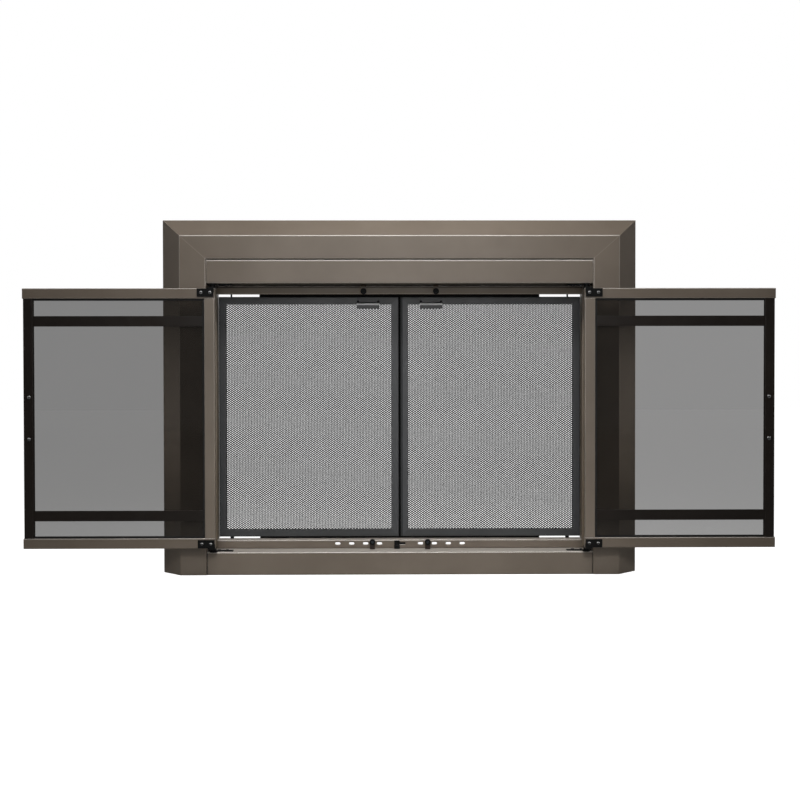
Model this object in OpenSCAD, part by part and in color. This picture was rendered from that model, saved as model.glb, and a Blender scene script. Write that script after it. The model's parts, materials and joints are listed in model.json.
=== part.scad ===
// Fireplace surround with two hinged glass doors, two mesh spark-guard doors and an air damper.
// Axes: X to the right, Y into the fireplace, Z up. The origin lies on the hearth, in the plane
// of the wall face, midway between the sides. Sizes are in millimetres.
// The glass doors are drawn folded right back over the surround, the mesh doors closed and the
// air damper open.

/* [Surround] */
// Overall width
overall_w = 1118; // [1040:2:1260]
// Overall height
overall_h = 832; // [770:2:960]
// How far the face stands out from the wall
stand_off = 50; // [44:1:60]
// Width of each sloping outer side, seen from the front
side_bevel = 47.5; // [36:0.5:60]
// Width of each flat side face
side_face = 61; // [52:0.5:76]
// Height of the top slope and top face, as a share of the side widths
top_share = 0.886; // [0.8:0.002:1]
// Height of the bottom rail
bottom_rail_h = 54; // [46:1:70]
// Width of the lip that lies against the wall
wall_lip = 14; // [8:1:20]
// Thickness of the surround's steel sheet
sheet = 1.5; // [1:0.1:1.9]
// Outer radius of the sheet's bends
bend_r = 2.5; // [2.2:0.1:3.5]
// Gap at the butt joints of lintel panel and bottom rail
joint_gap = 0.7; // [0.3:0.1:1.2]

/* [Recess] */
// Height of the lintel panel
lintel_h = 57.5; // [46:0.5:75]
// How far the lintel panel sits behind the face
lintel_recess = 2; // [1:0.5:5]
// Radius of the lintel panel's top and bottom edges
lintel_edge_r = 4; // [2.5:0.5:7]
// Height of the band above the mesh doors
header_h = 20.5; // [17:0.5:26]
// Height of the band below the mesh doors
sill_h = 21; // [20:0.5:26]
// Width of each side band
jamb_w = 16.5; // [12:0.5:22]
// How far the bands stand behind the wall face
band_y = 4; // [3:0.5:10]

/* [Glass doors] */
// Gap between a closed door's hinge edge and the surround
door_side_gap = 6.9; // [4:0.1:9]
// Gap between the two closed doors
door_meet_gap = 8; // [3:0.5:12]
// Gap above and below a door
door_end_gap = 13.2; // [13:0.1:18]
// How far a closed door's front sits behind the face
door_set_back = 19; // [15:0.5:23]
// Thickness of a door
door_t = 12; // [11:0.5:14]
// Width of the rails and the hinge stile
door_rail_w = 23.6; // [20:0.2:28]
// Width of the free stile
free_stile_w = 22.3; // [20:0.1:26]
// How far the free stile's edge sits inside the rail ends
free_stile_inset = 1.8; // [0.5:0.1:3]
// Wall of the rail and stile sections
section_wall = 1.5; // [1.2:0.1:1.8]
// Thickness of the glass
glass_t = 5; // [4:0.5:6]
// Depth of the glazing groove
glazing_depth = 5; // [4:0.5:6]
// Thickness of the gasket between glass and groove
gasket_t = 1.2; // [0.8:0.1:1.5]
// Width of gasket that shows beside a rail
gasket_show = 4.3; // [2:0.1:6]
// Width of a crossbar
crossbar_w = 23.8; // [14:0.1:30]
// Distance of a crossbar from the door's end
crossbar_inset = 63.5; // [50:0.5:120]
// Thickness of a crossbar
crossbar_t = 2; // [1.5:0.1:2.5]

/* [Glass door hinges] */
// Distance of the pivot from the door's hinge edge
pivot_inset = 9; // [8:0.5:11]
// How far the pivot stands in front of the face
pivot_forward = 1; // [0.5:0.5:3]
// Radius of a hinge pin
hinge_pin_r = 2.5; // [2:0.1:3]
// Radial running clearance of a hinge pin
pin_play = 0.05; // [0.02:0.01:0.1]
// Radius of the collar between the hinge ears
hinge_collar_r = 7; // [5:0.5:8]
// Width of a hinge leaf's ear
hinge_ear_w = 17; // [14:0.5:18]
// Thickness of a plate on the surround
frame_plate_t = 2.5; // [2:0.1:3]
// Thickness of a hinge leaf on a door
leaf_t = 2; // [1.5:0.1:2.5]
// Width of a hinge leaf
leaf_w = 38.2; // [32:0.2:46]
// Height of a hinge leaf
leaf_h = 19; // [16:0.5:22]
// Distance between a hinge leaf's screws
leaf_screw_gap = 20.5; // [16:0.5:26]

/* [Handles and catches] */
// Distance between a handle's screws
handle_span = 96; // [64:1:160]
// Distance of the handle from the door's free edge
handle_inset = 15; // [14:0.5:18]
// Height of the handle's middle above the door's bottom
handle_height = 300; // [240:1:360]
// How far a handle stands out
handle_reach = 18; // [16:1:30]
// Diameter of a handle's bar
handle_d = 7; // [6.5:0.5:10]
// Radius of a magnetic catch
magnet_r = 7.1; // [6:0.1:8]
// Thickness of a magnetic catch
magnet_t = 6; // [5:0.5:8]
// Gap between a catch and a closed door
magnet_gap = 0.5; // [0.4:0.1:1]
// Distance of an upper catch from the middle
upper_magnet_x = 85.4; // [60:0.2:150]
// Distance of a lower catch from the middle
lower_magnet_x = 65.4; // [60:0.2:150]

/* [Mesh doors] */
// Gap beside a mesh door
mesh_side_gap = 1.7; // [1.4:0.1:3]
// Gap between the two mesh doors
mesh_meet_gap = 4.8; // [4:0.2:7]
// Gap under a mesh door
mesh_low_gap = 4.6; // [4.4:0.1:6]
// Gap over a mesh door
mesh_high_gap = 4.2; // [4:0.1:7]
// How far the mesh doors sit behind the bands
mesh_set_back = 22; // [19:0.5:28]
// Thickness of a mesh door
mesh_door_t = 12; // [10:0.5:14]
// Width of a mesh door's frame members
member_w = 17; // [14:0.5:22]
// Thickness of a mesh door's frame sheet
member_sheet = 1.2; // [0.9:0.1:1.4]
// Outer radius of a frame member's bends
member_bend_r = 1.8; // [1.6:0.1:2.5]
// Distance of a mesh door's pivot from its outer edge
mesh_pivot_inset = 29.7; // [24:0.1:36]
// Radius of a mesh door's pivot pin
mesh_pin_r = 2; // [1.6:0.1:2.4]
// Thickness of the net
net_t = 1.2; // [0.8:0.1:1.6]
// Width of a strand of the net
net_strand = 2; // [1.2:0.1:3]
// Openings across the net
net_columns = 6; // [4:1:6]
// Openings up the net
net_rows = 11; // [6:1:11]
// Width of a pull
pull_w = 54; // [40:1:70]
// Distance of a pull's middle from the middle of the unit
pull_x = 75.2; // [60:0.2:140]
// How far a pull stands out from its door
pull_reach = 12; // [10:0.5:14]
// Height of a pull's lip
pull_lip = 14; // [11:0.5:20]

/* [Air damper] */
// Length of a vent slot
vent_w = 12.5; // [10:0.5:15.5]
// Height of a vent slot
vent_h = 5.4; // [4.6:0.1:8]
// Distance between the vent slots
vent_pitch = 33.1; // [32.6:0.1:36]
// Distance of the first vent slot from the middle
vent_first = 48.8; // [44:0.2:60]
// Vent slots on each side
vents_a_side = 4; // [3:1:5]
// Travel of the damper
damper_travel = 16.5; // [15.8:0.1:16.9]
// Thickness of the damper plate
damper_t = 1.2; // [0.8:0.1:1.6]
// Place of the lever with the damper open
lever_x = -7.2; // [-12:0.2:-4]
// Width of the lever
lever_w = 13; // [10:0.5:16]

/* [Fixings] */
// Depth of masonry that the lintel clamps hold
wall_grip = 92; // [70:1:130]
// Distance of a lintel clamp from the middle
clamp_x = 300; // [200:5:380]
// Radius of a clamp bolt
clamp_bolt_r = 3.175; // [2.9:0.025:4]
// Distance of a floor bracket from the end of the bottom rail
floor_bracket_inset = 24.8; // [20:0.2:150]
// Depth of the floor brackets' holes behind the wall face
floor_hole_y = 40; // [30:1:60]
// Radius of the floor brackets' holes
floor_hole_r = 3.3; // [2.5:0.1:4]

/* [Hidden] */

// Finishes
PAINT = "#6a6056";
CHARCOAL = "#3c3d3e";
BLACK = "#1b1a1a";
ZINC = "#b9bcc0";
SMOKED_GLASS = [0.35, 0.36, 0.38, 0.5];

// Small clearances and cutting margins
CUT = 1;
GAP = 0.3;
BEND_STEPS = 4;
ROUND = 48;

// Surround
face_y = -stand_off;
inner_x = overall_w / 2 - side_bevel - side_face;
fold_z = overall_h - side_bevel * top_share;
face_low_z = fold_z - side_face * top_share;
rail_end_x = inner_x - joint_gap;
rear_lip_y = 14;
rear_lip_h = 14;
floor_bracket_x = rail_end_x - floor_bracket_inset;
// The bend at the wall lip rounds the corner off; these set it back out to the overall size
side_corner = overall_w / 2 + bend_r * (1 / tan(atan2(stand_off, side_bevel + bend_r) / 2) - 1);
top_corner = overall_h + bend_r * (1 / tan(atan2(stand_off, side_bevel * top_share + bend_r) / 2) - 1);

// Recess
lintel_y = face_y + lintel_recess;
lintel_top = face_low_z - joint_gap;
ceiling_z = face_low_z - lintel_h;
floor_z = bottom_rail_h;
header_low = ceiling_z - header_h;
sill_top = floor_z + sill_h;
throat_x = inner_x - jamb_w;
band_end_x = throat_x - GAP;

// Glass doors: lengths in a door's own frame run from its hinge edge, its bottom and its front
door_hinge_x = inner_x - door_side_gap;
door_len = door_hinge_x - door_meet_gap / 2;
door_low = floor_z + door_end_gap;
door_h = ceiling_z - door_end_gap - door_low;
door_front_y = face_y + door_set_back;
pivot_x = door_hinge_x - pivot_inset;
pivot_y = face_y - pivot_forward;
groove_w = glass_t + 2 * gasket_t;
groove_v = (door_t - groove_w) / 2;
free_edge_u = door_len - free_stile_inset;
free_inner_u = free_edge_u - free_stile_w;
handle_u = door_len - handle_inset;
handle_screw_r = 2;
ear_lift = 0.4;

// Mesh doors
mesh_outer_x = throat_x - mesh_side_gap;
mesh_inner_x = mesh_meet_gap / 2;
mesh_w = mesh_outer_x - mesh_inner_x;
mesh_low = sill_top + mesh_low_gap;
mesh_high = header_low - mesh_high_gap;
mesh_h = mesh_high - mesh_low;
mesh_front = band_y + mesh_set_back;
mesh_back = mesh_front + mesh_door_t;
mesh_pivot_x = mesh_outer_x - mesh_pivot_inset;
mesh_pivot_y = mesh_front + mesh_door_t / 2;
pivot_bracket_t = 3;
ledge_back = mesh_back;
pin_seat = 14;

// ---- Folded sheet -------------------------------------------------------------------------

function heading(a, b) = atan2(b.y - a.y, b.x - a.x);
function wrapped(t) = t > 180 ? t - 360 : t <= -180 ? t + 360 : t;
function left_of(h) = [-sin(h), cos(h)];

// Stations round the bend at b on the way from a to c: each is [point, unit vector to the left]
function bend(a, b, c, r) =
    let (
        h = heading(a, b),
        turn = wrapped(heading(b, c) - h),
        way = sign(turn),
        start = b - r * tan(abs(turn) / 2) * [cos(h), sin(h)],
        centre = start + way * r * left_of(h)
    )
    [for (k = [0 : BEND_STEPS])
        let (left = left_of(h + turn * k / BEND_STEPS)) [centre - way * r * left, left]];

// Stations along a path whose corners are bent to radius r
function stations(path, r) =
    let (last = len(path) - 1)
    [
        [path[0], left_of(heading(path[0], path[1]))],
        for (i = [1 : last - 1]) each bend(path[i - 1], path[i], path[i + 1], r),
        [path[last], left_of(heading(path[last - 1], path[last]))]
    ];

// Section of a folded sheet. path is its visible face; side is 1 where the metal lies to the
// left of the path and -1 where it lies to the right.
module folded(path, side = 1, gauge = sheet, r = bend_r) {
    s = stations(path, r);
    polygon(concat(
        [for (e = s) e[0]],
        [for (i = [len(s) - 1 : -1 : 0]) s[i][0] + side * gauge * s[i][1]]
    ));
}

// ---- Placing ------------------------------------------------------------------------------

// Extrudes a Y-Z section along X, centred
module along_x(length) {
    translate([-length / 2, 0, 0]) rotate([90, 0, 90]) linear_extrude(height = length) children();
}

// Extrudes an X-Z outline through the depth from y0 to y1
module through_y(y0, y1) {
    translate([0, y1, 0]) rotate([90, 0, 0]) linear_extrude(height = y1 - y0) children();
}

// Extrudes an X-Y outline from z0 to z1
module up(z0, z1) {
    translate([0, 0, z0]) linear_extrude(height = z1 - z0) children();
}

module rod_y(x, z, y0, y1, r) {
    translate([x, y1, z]) rotate([90, 0, 0]) cylinder(r = r, h = y1 - y0, $fn = ROUND);
}

module rod_z(x, y, z0, z1, r) {
    translate([x, y, z0]) cylinder(r = r, h = z1 - z0, $fn = ROUND);
}

module both_sides() {
    children();
    mirror([1, 0, 0]) children();
}

// Moves a piece from the left glass door's own frame to the folded-back door
module on_left_door() {
    translate([-pivot_x, pivot_y, 0])
        rotate([0, 0, 180])
            translate([-pivot_inset, door_front_y - pivot_y, door_low])
                children();
}

module on_right_door() {
    mirror([1, 0, 0]) on_left_door() children();
}

// Draws a piece at the top of a door, and again upside down at its bottom
module at_both_ends() {
    children();
    translate([0, 0, door_h]) mirror([0, 0, 1]) children();
}

// ---- Surround -----------------------------------------------------------------------------

// Outlines on either side of the mitre, which runs from the surround's outer corner to the
// inner corner of its face
mitre_over = 2 * bend_r;
mitre_out = [-overall_w / 2 - mitre_over, overall_h + mitre_over * top_share];
mitre_in = [-inner_x + mitre_over, face_low_z - mitre_over * top_share];

module stile_outline() {
    polygon([[mitre_out.x, 0], mitre_out, mitre_in, [mitre_in.x, 0]]);
}

module top_outline() {
    polygon([mitre_out, mitre_in, [-mitre_in.x, mitre_in.y], [-mitre_out.x, mitre_out.y]]);
}

module stile() {
    section = [
        [-overall_w / 2 + wall_lip, 0],
        [-side_corner, 0],
        [-overall_w / 2 + side_bevel, face_y],
        [-inner_x, face_y],
        [-inner_x, band_y + sheet]
    ];
    color(PAINT) intersection() {
        up(0, overall_h + bend_r) folded(section);
        through_y(face_y - CUT, band_y + 2 * sheet) stile_outline();
    }
}

module left_stile() {
    stile();
}

module right_stile() {
    mirror([1, 0, 0]) stile();
}

module top_rail() {
    section = [
        [0, overall_h - wall_lip],
        [0, top_corner],
        [face_y, fold_z],
        [face_y, face_low_z],
        [face_y + stand_off * 0.8, face_low_z]
    ];
    color(PAINT) intersection() {
        along_x(2 * side_corner) folded(section);
        through_y(face_y - CUT, band_y) top_outline();
    }
}

// Places of the screws that hold the hinge plates to the surround
hinge_arm_front = face_y + 10;
hinge_arm_w = 12;
hinge_arm_y = hinge_arm_front + hinge_arm_w / 2;
hinge_screw_x = [inner_x - 45.5, inner_x - 26.5];
hinge_screw_r = 2;

module hinge_screw_holes(z0, z1) {
    both_sides() for (x = hinge_screw_x) rod_z(x, hinge_arm_y, z0, z1, hinge_screw_r);
}

rail_shelf_back = band_y + 14;

module bottom_rail() {
    section = [
        [rail_shelf_back, floor_z],
        [face_y, floor_z],
        [face_y, 0],
        [rear_lip_y, 0],
        [rear_lip_y, rear_lip_h]
    ];
    color(PAINT) difference() {
        along_x(2 * rail_end_x) folded(section);
        hinge_screw_holes(floor_z - sheet - CUT, floor_z + CUT);
        both_sides() rod_y(floor_bracket_x, floor_screw_z, rear_lip_y - sheet - CUT, rear_lip_y + CUT, floor_screw_r);
    }
}

module lintel_panel() {
    section = [
        [lintel_y + stand_off / 2, lintel_top],
        [lintel_y, lintel_top],
        [lintel_y, ceiling_z],
        [rail_shelf_back, ceiling_z]
    ];
    color(PAINT) difference() {
        along_x(2 * rail_end_x) folded(section, r = lintel_edge_r);
        hinge_screw_holes(ceiling_z - CUT, ceiling_z + sheet + CUT);
    }
}

header_hem = 5;
header_shelf = 30;

module header_channel() {
    section = [
        [band_y + header_hem, header_low],
        [band_y, header_low],
        [band_y, ceiling_z],
        [band_y + header_shelf, ceiling_z]
    ];
    color(PAINT) along_x(2 * band_end_x) folded(section, side = -1);
}

// Rounded slot centred at x, z
module slot(x, z, w, h) {
    translate([x, z]) {
        square([w - h, h], center = true);
        for (s = [-1, 1]) translate([s * (w - h) / 2, 0]) circle(d = h, $fn = ROUND);
    }
}

vent_z = floor_z + sill_h * 0.57;

module vent_slots() {
    for (s = [-1, 1], i = [0 : vents_a_side - 1])
        slot(s * (vent_first + i * vent_pitch), vent_z, vent_w, vent_h);
}

lever_neck_w = 6;
lever_neck_h = 4.4;
lever_slot_h = 5.2;
lever_slot_w = lever_neck_w + damper_travel + 2 * GAP;
sill_foot = 12;

module sill_channel() {
    section = [
        [band_y + sill_foot, floor_z],
        [band_y, floor_z],
        [band_y, sill_top],
        [ledge_back, sill_top]
    ];
    color(PAINT) difference() {
        along_x(2 * band_end_x) folded(section, side = -1);
        through_y(band_y - CUT, band_y + sheet + CUT) {
            vent_slots();
            translate([lever_x + damper_travel / 2, vent_z]) square([lever_slot_w, lever_slot_h], center = true);
        }
        both_sides() rod_z(mesh_pivot_x, mesh_pivot_y, sill_top - sheet - CUT, sill_top + CUT, bush_spigot_r);
    }
}

module jamb() {
    section = [
        [-inner_x + sheet, band_y - 14],
        [-inner_x + sheet, band_y],
        [-throat_x, band_y],
        [-throat_x, ledge_back]
    ];
    color(PAINT) up(floor_z, ceiling_z) folded(section);
}

module left_jamb() {
    jamb();
}

module right_jamb() {
    mirror([1, 0, 0]) jamb();
}

stop_half_len = mesh_pivot_x - 66;
stop_face_y = ledge_back + bend_r;
stop_leg_y = band_y + 14;
stop_cover = 6;

// Black angles that the mesh doors close against
module stop_strips() {
    color(BLACK) {
        along_x(2 * stop_half_len) folded([
            [stop_leg_y, ceiling_z - 2 * sheet],
            [stop_face_y, ceiling_z - 2 * sheet],
            [stop_face_y, mesh_high - stop_cover]
        ], side = 1);
        along_x(2 * stop_half_len) folded([
            [stop_leg_y, sill_top - sheet],
            [stop_face_y, sill_top - sheet],
            [stop_face_y, mesh_low + stop_cover]
        ], side = -1);
    }
}

// Magnetic catches on tabs that stand on the bottom rail and hang from the ceiling
magnet_front_y = door_front_y + door_t + magnet_gap;
tab_y = magnet_front_y + magnet_t;
upper_magnet_z = ceiling_z - 15;
lower_magnet_z = mesh_low - magnet_r - 0.9;
tab_w = 1.7 * magnet_r;

module magnet_tabs() {
    color(BLACK) both_sides() {
        translate([upper_magnet_x, 0, 0]) along_x(tab_w)
            folded([[0, ceiling_z], [tab_y, ceiling_z], [tab_y, upper_magnet_z - magnet_r / 2]], side = 1);
        translate([lower_magnet_x, 0, 0]) along_x(tab_w)
            folded([[0, floor_z], [tab_y, floor_z], [tab_y, lower_magnet_z + magnet_r / 2]], side = -1);
    }
}

// One catch: a cup with a domed rim round its pole face
module magnet(x, z) {
    dome = 1.2;
    translate([x, tab_y, z]) rotate([90, 0, 0]) rotate_extrude($fn = ROUND)
        polygon([[0, 0], [magnet_r, 0], [magnet_r, magnet_t - dome], [magnet_r - dome, magnet_t],
            [magnet_r * 0.55, magnet_t], [magnet_r * 0.45, magnet_t - dome], [0, magnet_t - dome]]);
}

module door_magnets() {
    color(BLACK) both_sides() {
        magnet(upper_magnet_x, upper_magnet_z);
        magnet(lower_magnet_x, lower_magnet_z);
    }
}

// Pivot plate: an ear round the pivot in front of the face, and an arm screwed on behind it
hinge_arm_len = 58;

module hinge_plate_outline() {
    ear_r = hinge_ear_w / 2;
    difference() {
        union() {
            translate([-pivot_x, pivot_y]) circle(r = ear_r, $fn = ROUND);
            translate([-pivot_x - ear_r, pivot_y])
                square([hinge_ear_w, hinge_arm_front + hinge_arm_w - pivot_y]);
            translate([-inner_x + sheet, hinge_arm_front]) square([hinge_arm_len, hinge_arm_w]);
        }
        translate([-pivot_x, pivot_y]) circle(r = hinge_pin_r + pin_play, $fn = ROUND);
        for (x = hinge_screw_x) translate([-x, hinge_arm_y]) circle(r = hinge_screw_r, $fn = ROUND);
    }
}

module frame_hinge_plates() {
    color(BLACK) both_sides() {
        up(ceiling_z - frame_plate_t, ceiling_z) hinge_plate_outline();
        up(floor_z, floor_z + frame_plate_t) hinge_plate_outline();
    }
}

// Pan-head screw along Z: shank of length l from the origin down, head with a cross recess above it
module pan_screw(r, l, head_r, head_h) {
    recess_l = head_r;
    recess_w = head_r * 0.26;
    recess_floor = head_h * 0.4;
    difference() {
        rotate_extrude($fn = ROUND)
            polygon([[0, -l], [r, -l], [r, 0], [head_r, 0], [head_r, head_h * 0.45],
                [head_r * 0.72, head_h * 0.88], [head_r * 0.4, head_h], [0, head_h]]);
        up(recess_floor, head_h + CUT) {
            square([recess_l, recess_w], center = true);
            square([recess_w, recess_l], center = true);
        }
    }
}

module frame_hinge_screws() {
    grip = frame_plate_t + sheet + 3;
    color(BLACK) both_sides() for (x = hinge_screw_x) {
        translate([x, hinge_arm_y, floor_z + frame_plate_t]) pan_screw(hinge_screw_r, grip, 4, 2.4);
        translate([x, hinge_arm_y, ceiling_z - frame_plate_t]) mirror([0, 0, 1])
            pan_screw(hinge_screw_r, grip, 4, 2.4);
    }
}

module mesh_pivot_brackets() {
    top = ceiling_z - sheet;
    half_w = 16;
    color(BLACK) both_sides() up(top - pivot_bracket_t, top) difference() {
        translate([mesh_pivot_x - half_w, band_y + bend_r + sheet]) square([2 * half_w, mesh_back - band_y]);
        translate([mesh_pivot_x, mesh_pivot_y]) circle(r = mesh_pin_r + pin_play, $fn = ROUND);
    }
}

bush_spigot_r = 3.4;
bush_flange_r = 4.9;

module mesh_pivot_bushes() {
    bore_r = mesh_pin_r + pin_play;
    flange_h = mesh_low_gap - 1;
    color(BLACK) both_sides() translate([mesh_pivot_x, mesh_pivot_y, sill_top]) rotate_extrude($fn = ROUND)
        polygon([[bore_r, -2 * sheet], [bush_spigot_r, -2 * sheet], [bush_spigot_r, 0], [bush_flange_r, 0],
            [bush_flange_r, flange_h * 0.3], [bush_spigot_r, flange_h * 0.5], [bush_flange_r, flange_h * 0.7],
            [bush_flange_r, flange_h], [bore_r, flange_h]]);
}

gusset_t = 2;
gusset_margin = 8;
gusset_reach = 75;

// Plates behind the mitres
module corner_gussets() {
    leg = side_face - 2 * gusset_margin;
    low = face_low_z + gusset_margin;
    out_x = -inner_x - side_face + gusset_margin;
    top_z = fold_z - gusset_margin;
    back_y = face_y + sheet;
    color(ZINC) both_sides() through_y(back_y, back_y + gusset_t)
        polygon([[out_x, top_z], [out_x, low - gusset_reach], [out_x + leg, low - gusset_reach],
            [out_x + leg, low], [out_x + leg + gusset_reach, low], [out_x + leg + gusset_reach, top_z]]);
}

// Angles that join the ends of the lintel panel and the bottom rail to the stiles
module rail_end_brackets() {
    leg = 24;
    margin = 8;
    color(ZINC) both_sides() {
        up(ceiling_z + margin, lintel_top - margin)
            folded([[-inner_x, lintel_y + sheet + leg], [-inner_x, lintel_y + sheet],
                [-inner_x + leg, lintel_y + sheet]]);
        up(margin, floor_z - margin)
            folded([[-inner_x, face_y + sheet + leg], [-inner_x, face_y + sheet],
                [-inner_x + leg, face_y + sheet]]);
    }
}

// ---- Lintel clamps and floor brackets -----------------------------------------------------

clamp_gauge = 2;
clamp_leg_y = -6;
clamp_angle_w = 30;
clamp_foot = 24;
clamp_leg_h = 32;
clamp_bolt_z = ceiling_z + sheet + clamp_leg_h * 0.62;
clamp_hole_r = clamp_bolt_r + 0.15;
clamp_bar_t = 5;

module clamp_angles() {
    z0 = ceiling_z + sheet;
    color(ZINC) both_sides() difference() {
        translate([clamp_x, 0, 0]) along_x(clamp_angle_w)
            folded([[clamp_leg_y - clamp_foot, z0], [clamp_leg_y + clamp_gauge, z0],
                [clamp_leg_y + clamp_gauge, z0 + clamp_leg_h]], gauge = clamp_gauge);
        rod_y(clamp_x, clamp_bolt_z, clamp_leg_y - CUT, clamp_leg_y + clamp_gauge + CUT, clamp_hole_r);
    }
}

module clamp_bolts() {
    head_h = 4;
    head_r = clamp_bolt_r * 1.9;
    color(ZINC) both_sides() {
        rod_y(clamp_x, clamp_bolt_z, clamp_leg_y, wall_grip + clamp_bar_t + 14, clamp_bolt_r);
        translate([clamp_x, clamp_leg_y, clamp_bolt_z]) rotate([90, 0, 0])
            cylinder(r = head_r, h = head_h, $fn = 6);
    }
}

module clamp_bars() {
    half_w = 12.5;
    rise = 64;
    color(ZINC) both_sides() difference() {
        through_y(wall_grip, wall_grip + clamp_bar_t) {
            translate([clamp_x, clamp_bolt_z]) circle(r = half_w, $fn = ROUND);
            translate([clamp_x - half_w, clamp_bolt_z]) square([2 * half_w, rise]);
        }
        rod_y(clamp_x, clamp_bolt_z, wall_grip - CUT, wall_grip + clamp_bar_t + CUT, clamp_hole_r);
    }
}

module wing_nuts() {
    hub_r = 6;
    hub_h = 7;
    wing_t = 2.4;
    y0 = wall_grip + clamp_bar_t;
    color(ZINC) both_sides() difference() {
        union() {
            rod_y(clamp_x, clamp_bolt_z, y0, y0 + hub_h, hub_r);
            for (s = [-1, 1])
                translate([clamp_x, 0, clamp_bolt_z - wing_t / 2]) linear_extrude(height = wing_t)
                    polygon([[s * (hub_r - 2), y0 + 1], [s * 13, y0 + 6], [s * 15, y0 + 11], [s * 12, y0 + 13],
                        [s * 9, y0 + 11], [s * (hub_r - 2), y0 + hub_h]]);
        }
        rod_y(clamp_x, clamp_bolt_z, y0 - CUT, y0 + 15, clamp_bolt_r);
    }
}

floor_screw_z = 8.5;
floor_screw_r = 1.9;
floor_gauge = 2;

module floor_brackets() {
    color(ZINC) both_sides() difference() {
        translate([floor_bracket_x, 0, 0]) along_x(30)
            folded([[floor_hole_y + 18, 0], [rear_lip_y, 0], [rear_lip_y, rear_lip_h]], side = -1,
                gauge = floor_gauge, r = 3);
        rod_z(floor_bracket_x, floor_hole_y, -CUT, floor_gauge + CUT, floor_hole_r);
        rod_y(floor_bracket_x, floor_screw_z, rear_lip_y - CUT, rear_lip_y + floor_gauge + CUT, floor_screw_r);
    }
}

module floor_bracket_screws() {
    color(ZINC) both_sides() translate([floor_bracket_x, rear_lip_y + floor_gauge, floor_screw_z])
        rotate([-90, 0, 0])
        pan_screw(floor_screw_r, floor_gauge + sheet + 3, 3.8, 2.2);
}

// ---- Air damper ---------------------------------------------------------------------------

damper_y = band_y + sheet + GAP;
damper_low = floor_z + bend_r;
damper_high = sill_top - bend_r;
damper_half_len = vent_first + (vents_a_side - 1) * vent_pitch + vent_w / 2 + 12;

module damper_plate() {
    color(BLACK) through_y(damper_y, damper_y + damper_t) difference() {
        translate([-damper_half_len, damper_low]) square([2 * damper_half_len, damper_high - damper_low]);
        vent_slots();
    }
}

// Bent lever: a neck through the sill's slot and a finger tab that curls forward
module damper_lever() {
    lever_gauge = 1.5;
    dimple_r = 2;
    back_y = band_y - GAP;
    top_z = sill_top - 2;
    heel_z = floor_z + 5;
    toe = [back_y - 13, floor_z + 1.2];
    color(BLACK) {
        difference() {
            translate([lever_x, 0, 0]) along_x(lever_w)
                folded([[back_y, top_z], [back_y, heel_z], toe], side = -1, gauge = lever_gauge);
            rod_y(lever_x, vent_z, back_y - lever_gauge - CUT, back_y - lever_gauge / 2, dimple_r);
        }
        translate([lever_x - lever_neck_w / 2, back_y - CUT / 2, vent_z - lever_neck_h / 2])
            cube([lever_neck_w, damper_y - back_y + CUT / 2, lever_neck_h]);
    }
}

guide_x = vent_first + 1.5 * vent_pitch;

module damper_guides() {
    guide_y = damper_y + damper_t + GAP;
    color(BLACK) both_sides() translate([guide_x, 0, 0]) along_x(12)
        folded([[guide_y, vent_z - 4], [guide_y, sill_top - sheet], [guide_y + 9, sill_top - sheet]], side = -1);
}

// ---- Glass door, in its own frame: X from the hinge edge, Y from the front, Z from the bottom ----

// Section of a rail or stile, outer edge at x = 0 and front at y = 0
module bar_section(w) {
    r = 1.6;
    translate([r, 0]) square([w - 2 * r, door_t]);
    translate([0, r]) square([w, door_t - 2 * r]);
    for (x = [r, w - r], y = [r, door_t - r]) translate([x, y]) circle(r = r, $fn = ROUND);
}

// Its glazing groove, in the inner edge
module groove_section(w) {
    translate([w - glazing_depth, groove_v]) square([glazing_depth + CUT, groove_w]);
}

// Its hollow chamber
module chamber_section(w) {
    translate([section_wall, section_wall])
        square([w - glazing_depth - 2 * section_wall, door_t - 2 * section_wall]);
}

// A section swung so that it runs along the door's width
module lying() {
    rotate([90, 0, 90]) children();
}

module door_bottom_rail() {
    difference() {
        lying() linear_extrude(height = door_len) mirror([1, -1]) bar_section(door_rail_w);
        translate([section_wall, 0, 0]) lying() linear_extrude(height = door_len - 2 * section_wall)
            mirror([1, -1]) chamber_section(door_rail_w);
        translate([door_rail_w - glazing_depth, 0, 0]) lying()
            linear_extrude(height = free_inner_u - door_rail_w + 2 * glazing_depth)
                mirror([1, -1]) groove_section(door_rail_w);
        leaf_screw_holes();
    }
}

module door_top_rail() {
    translate([0, 0, door_h]) mirror([0, 0, 1]) door_bottom_rail();
}

module stile_between_rails(w) {
    up(door_rail_w, door_h - door_rail_w) difference() {
        bar_section(w);
        groove_section(w);
        chamber_section(w);
    }
}

module door_hinge_stile() {
    stile_between_rails(door_rail_w);
}

module door_free_stile() {
    difference() {
        translate([free_edge_u, 0, 0]) mirror([1, 0, 0]) stile_between_rails(free_stile_w);
        handle_screw_places() rod_y(0, 0, -CUT, door_t + CUT, handle_screw_r);
    }
}

glass_edge = glazing_depth - gasket_t;

module door_glass() {
    translate([door_rail_w - glass_edge, groove_v + gasket_t, door_rail_w - glass_edge])
        cube([free_inner_u - door_rail_w + 2 * glass_edge, glass_t, door_h - 2 * door_rail_w + 2 * glass_edge]);
}

module door_gasket() {
    difference() {
        through_y(groove_v, groove_v + groove_w) difference() {
            translate([door_rail_w - glazing_depth, door_rail_w - glazing_depth])
                square([free_inner_u - door_rail_w + 2 * glazing_depth,
                    door_h - 2 * door_rail_w + 2 * glazing_depth]);
            translate([door_rail_w + gasket_show, door_rail_w + gasket_show])
                square([free_inner_u - door_rail_w - gasket_show, door_h - 2 * door_rail_w - 2 * gasket_show]);
        }
        door_glass();
    }
}

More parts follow.
